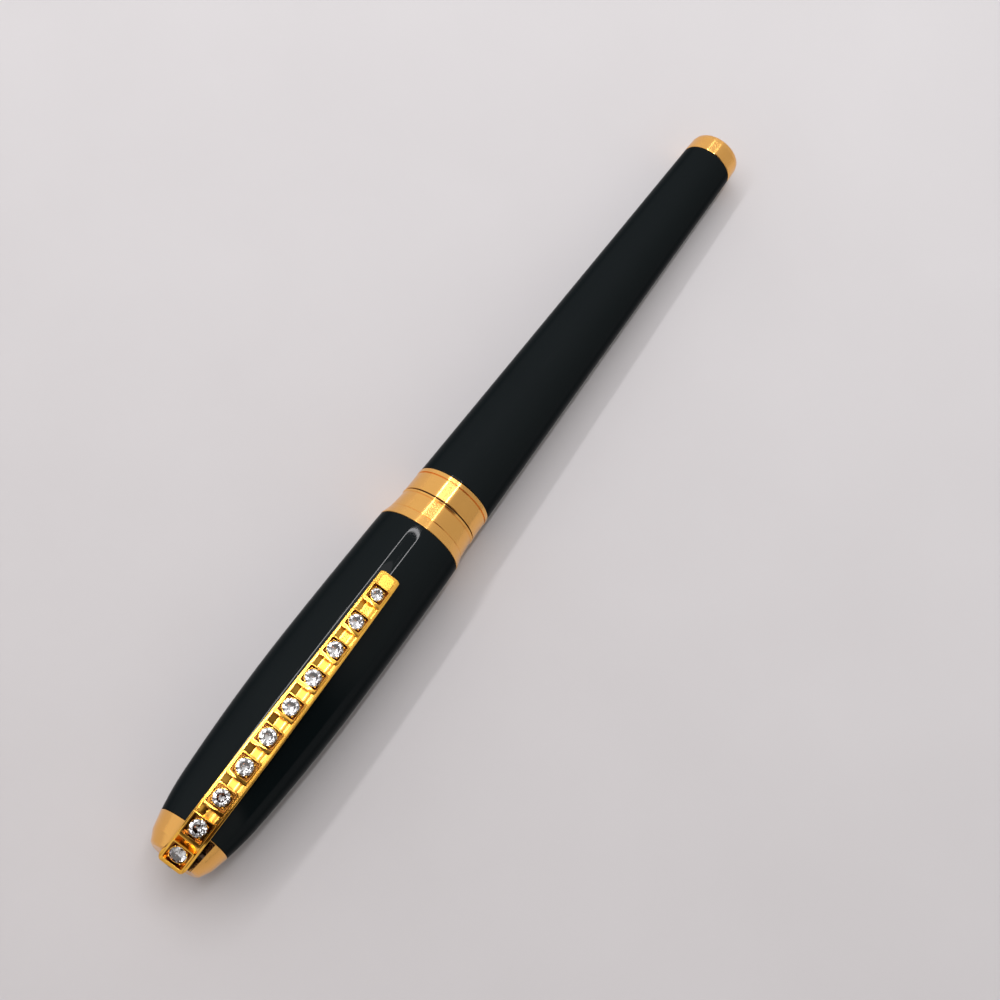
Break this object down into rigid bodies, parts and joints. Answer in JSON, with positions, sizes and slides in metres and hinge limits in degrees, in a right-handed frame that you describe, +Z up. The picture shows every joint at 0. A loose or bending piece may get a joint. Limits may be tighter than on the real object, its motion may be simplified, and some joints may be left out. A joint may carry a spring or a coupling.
{
  "type": "rollerball pen",
  "caption": "Capped rollerball pen in black lacquer with gold trim, a stone-set clip on a sprung pin, a pull-off cap, a screw-off barrel and a sprung refill.",
  "frame": {"origin": "bottom centre of the bounding box: under the middle of the pen's length, where its belly touches the table", "axes": "+X from the cap's crown to the barrel's end, along the pen's axis; +Z up, with the clip on top; +Y across"},
  "size_m": [0.1392, 0.0142, 0.0166],
  "materials": {
    "lacquer": "deep black lacquer, polished to a mirror gloss",
    "gold": "polished yellow gold plating on brass",
    "steel": "satin stainless steel",
    "brass": "turned brass, unplated",
    "black_plastic": "moulded, matt",
    "white_plastic": "moulded, natural white",
    "rubber": "matt",
    "ink_fibre": "fibre soaked with blue ink",
    "clear_stone": "brilliant-cut, clear",
    "dark_stone": "polished dark cabochon"
  },
  "bodies": {
    "section": {"grip_section": "lacquer", "nose_cone": "gold", "catch_ring": "gold", "section_ring": "rubber", "thread_bush": "brass"},
    "cap": {"cap_shell": "lacquer", "cap_mouth_ring": "gold", "cap_crown": "gold", "crown_screw": "steel", "inner_cap": "black_plastic", "cap_snap_ring": "steel", "clip_pin": "steel", "clip_spring": "steel"},
    "clip": {"clip": "gold", "clip_stone_01": "clear_stone", "clip_stone_02": "clear_stone", "clip_stone_03": "clear_stone", "clip_stone_04": "clear_stone", "clip_stone_05": "clear_stone", "clip_stone_06": "clear_stone", "clip_stone_07": "clear_stone", "clip_stone_08": "clear_stone", "clip_stone_09": "clear_stone", "clip_stone_10": "clear_stone", "clip_nose_stone": "dark_stone"},
    "washer": {"barrel_washer": "black_plastic"},
    "barrel": {"barrel_shell": "lacquer", "barrel_front_ring": "gold", "barrel_insert": "brass", "barrel_end_cap": "gold", "spring_seat": "black_plastic", "refill_spring": "steel"},
    "refill": {"refill_tube": "steel", "refill_point": "steel", "refill_ball": "steel", "refill_collar": "white_plastic", "feed_rod": "white_plastic", "ink_reservoir": "ink_fibre", "refill_plug": "white_plastic"}
  },
  "joints": [
    {"name": "cap_pull", "type": "slide", "parent": "section", "child": "cap", "axis": [-1, 0, 0], "range_m": [0, 0.06]},
    {"name": "clip_lift", "type": "hinge", "parent": "cap", "child": "clip", "pos_m": [-0.0661, 0, 0.00966], "axis": [0, -1, 0], "range_deg": [0, 7], "stiffness_Nm_per_rad": 0.3, "springref_deg": -5.73},
    {"name": "barrel_travel", "type": "slide", "parent": "section", "child": "washer", "axis": [1, 0, 0], "range_m": [0, 0.0085]},
    {"name": "barrel_turn", "type": "hinge", "parent": "washer", "child": "barrel", "pos_m": [0, 0, 0.00706], "axis": [1, 0, 0], "range_deg": [0, 3065]},
    {"name": "refill_press", "type": "slide", "parent": "section", "child": "refill", "axis": [1, 0, 0], "range_m": [0, 0.0015], "stiffness_N_per_m": 300, "springref_m": -0.001, "deforming": ["refill_spring"]}
  ],
  "couplings": [
    {"joint": "barrel_turn", "follows": "barrel_travel", "rad_per_m": 6283.2}
  ]
}
